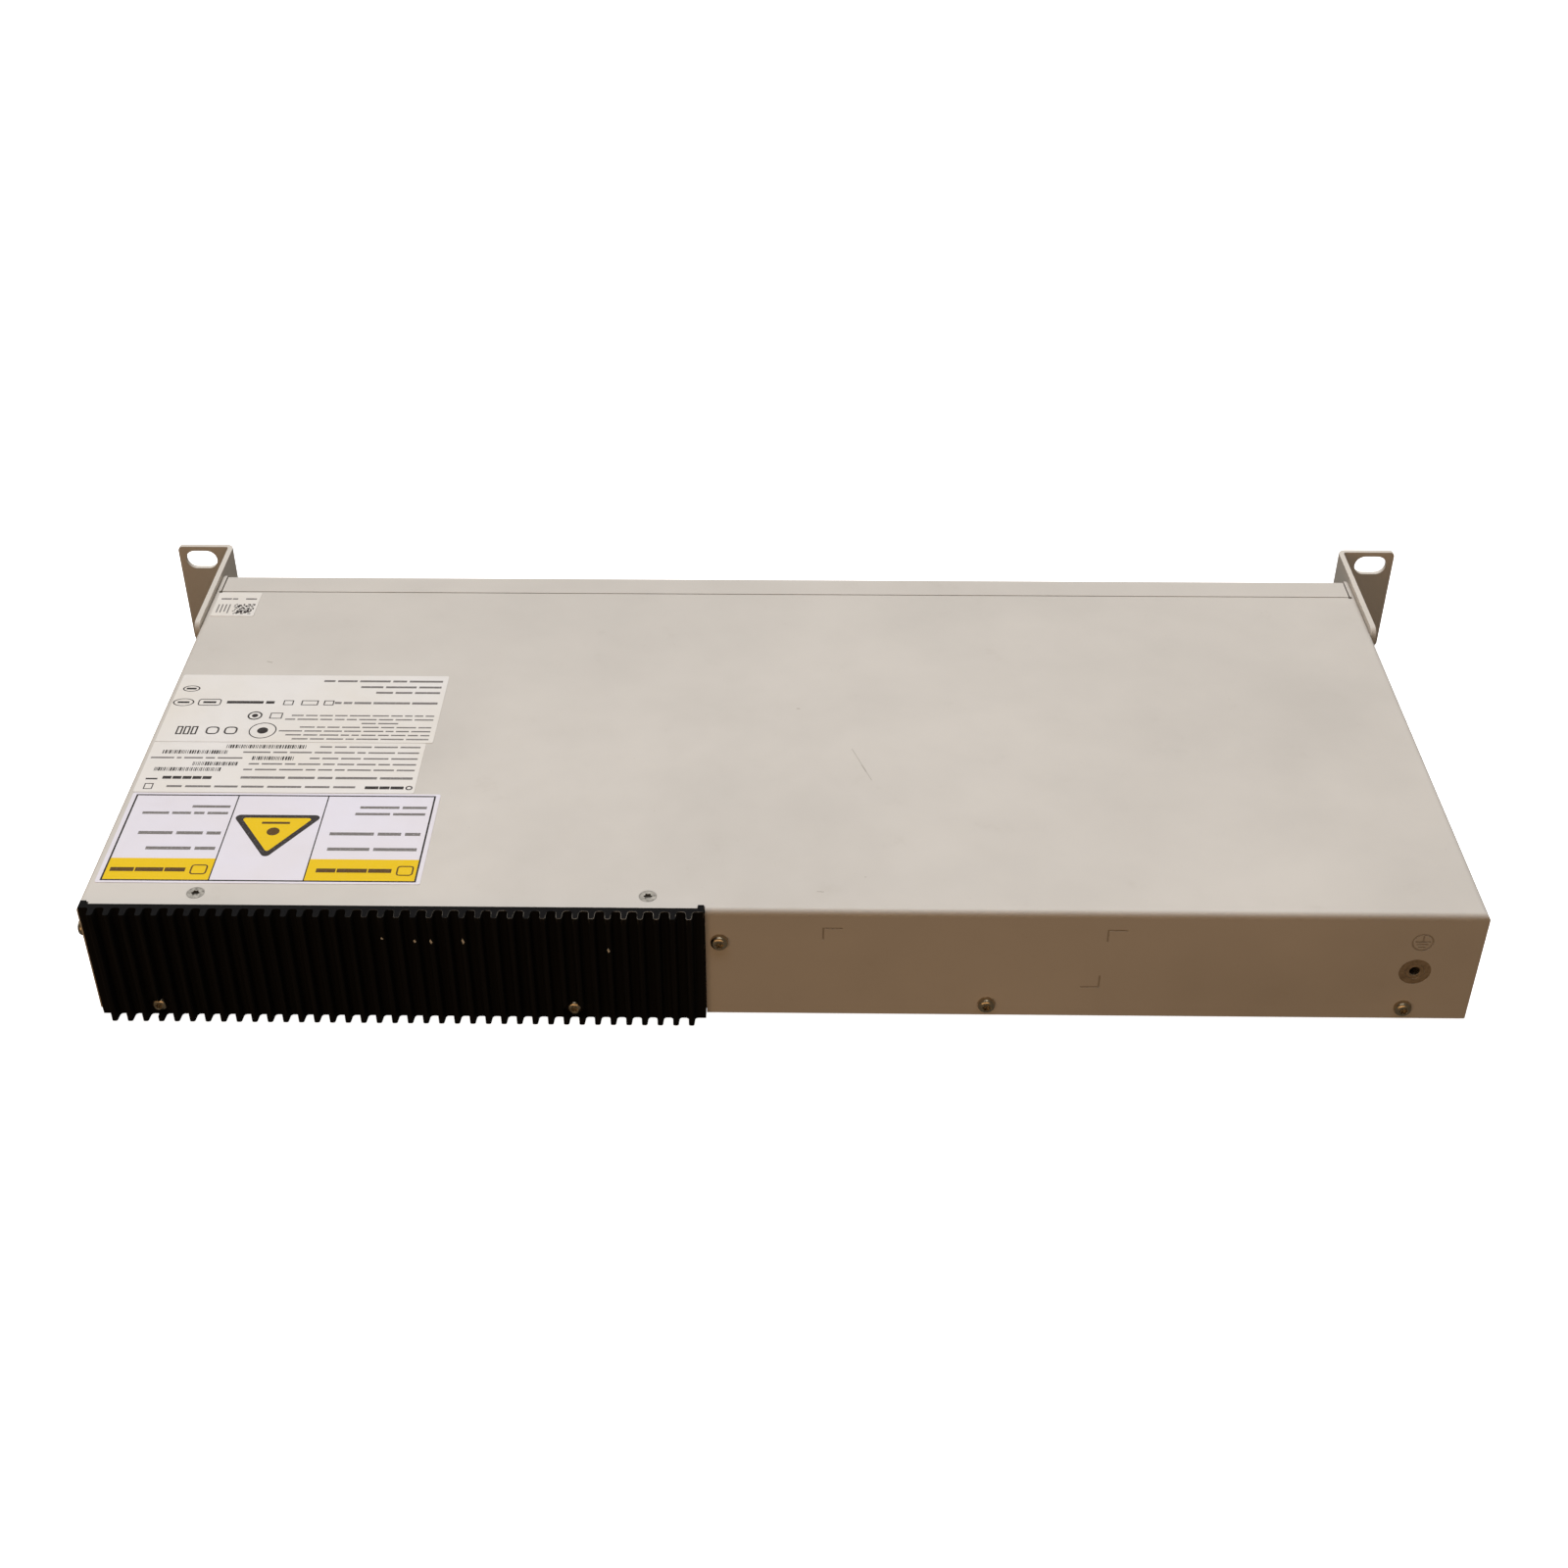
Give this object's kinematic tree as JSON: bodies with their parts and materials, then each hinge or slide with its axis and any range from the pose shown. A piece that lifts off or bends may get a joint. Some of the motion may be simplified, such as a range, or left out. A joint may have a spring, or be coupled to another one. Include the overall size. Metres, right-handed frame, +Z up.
{
  "type": "rack network appliance",
  "caption": "Slim half-depth rack network appliance: sheet-steel case with bent rack ears, a finned heat sink in its back, front network ports, power inlet and a recessed reset button.",
  "frame": {"origin": "centre of the bounding box on the plane that the tray floor rests on", "axes": "+X right seen from the front, +Y from the front panel to the rear, +Z up; the ports and rack ears face -Y and the heat sink is at the back on the +X side"},
  "size_m": [0.4826, 0.2316, 0.0439],
  "materials": {
    "enclosure_paint": "fine-textured light warm grey powder coat on sheet steel",
    "ear_paint": "light warm grey powder coat on 2 mm steel, worn bright at the edges",
    "black_anodised": "black anodised extrusion with a soft sheen and worn fin edges",
    "screw_steel": "zinc-plated and nickel-plated steel",
    "label_film": "satin polyester label film",
    "circuit_board": "green solder mask on glass epoxy",
    "clear_film": "milky insulating film",
    "shield_metal": "tin-plated shield",
    "black_plastic": "moulded black plastic",
    "terminal_plastic": "moulded green plastic",
    "nickel_brass": "nickel-plated brass",
    "chip_lid": "matt metal lid on a chip carrier",
    "thermal_rubber": "soft filled silicone",
    "bare_aluminium": "milled aluminium",
    "capacitor_sleeve": "shrink sleeve",
    "winding_copper": "enamelled copper wire",
    "fuse_glass": "ceramic fuse body",
    "lamp_resin": "clear polycarbonate",
    "wire_insulation": "soft plastic insulation",
    "button_plastic": "black moulded plastic"
  },
  "bodies": {
    "chassis": {"asset_label": "label_film", "base_tray": "enclosure_paint", "board_lead": "wire_insulation", "board_screws": "screw_steel", "board_standoffs": "screw_steel", "capacitors": "capacitor_sleeve", "cell_holder": "black_plastic", "clock_cell": "screw_steel", "cover_pan_screws": "screw_steel", "cover_top_screws": "screw_steel", "ear_nuts": "screw_steel", "ear_screws": "screw_steel", "ethernet_jack_1": "shield_metal", "ethernet_jack_2": "shield_metal", "ethernet_jack_3": "shield_metal", "ethernet_jack_4": "shield_metal", "ethernet_jack_5": "shield_metal", "filter_capacitor": "capacitor_sleeve", "filter_choke": "winding_copper", "fuse_clips": "nickel_brass", "ground_nut": "screw_steel", "heat_label": "label_film", "heat_sink_screws": "screw_steel", "heat_spreader": "bare_aluminium", "inlet_blades": "nickel_brass", "inlet_leads": "wire_insulation", "inlet_screws": "screw_steel", "insulation_sheet": "clear_film", "lead_plugs": "wire_insulation", "light_pipes": "lamp_resin", "line_fuse": "fuse_glass", "line_transformers": "black_plastic", "main_board": "circuit_board", "module_cage_1": "shield_metal", "module_cage_2": "shield_metal", "module_cage_3": "shield_metal", "module_sockets": "black_plastic", "output_inductor": "winding_copper", "power_board": "circuit_board", "power_inlet": "black_plastic", "power_transformer": "black_plastic", "power_transistors": "black_plastic", "processor_chip": "chip_lid", "rack_ear_left": "ear_paint", "rack_ear_right": "ear_paint", "rating_label": "label_film", "rear_heat_sink": "black_anodised", "reset_switch": "black_plastic", "serial_label": "label_film", "small_chips": "black_plastic", "spreader_screws": "screw_steel", "status_lamps": "lamp_resin", "switch_chip": "chip_lid", "terminal_block": "terminal_plastic", "terminal_screws": "screw_steel", "thermal_pads": "thermal_rubber", "top_cover": "enclosure_paint", "transistor_heat_bar": "bare_aluminium", "wire_headers": "black_plastic"},
    "button": {"reset_button": "button_plastic"}
  },
  "joints": [
    {"name": "reset_press", "type": "slide", "parent": "chassis", "child": "button", "axis": [0, 1, 0], "range_m": [0, 0.00035], "stiffness_N_per_m": 3000, "springref_m": -0.0003}
  ]
}
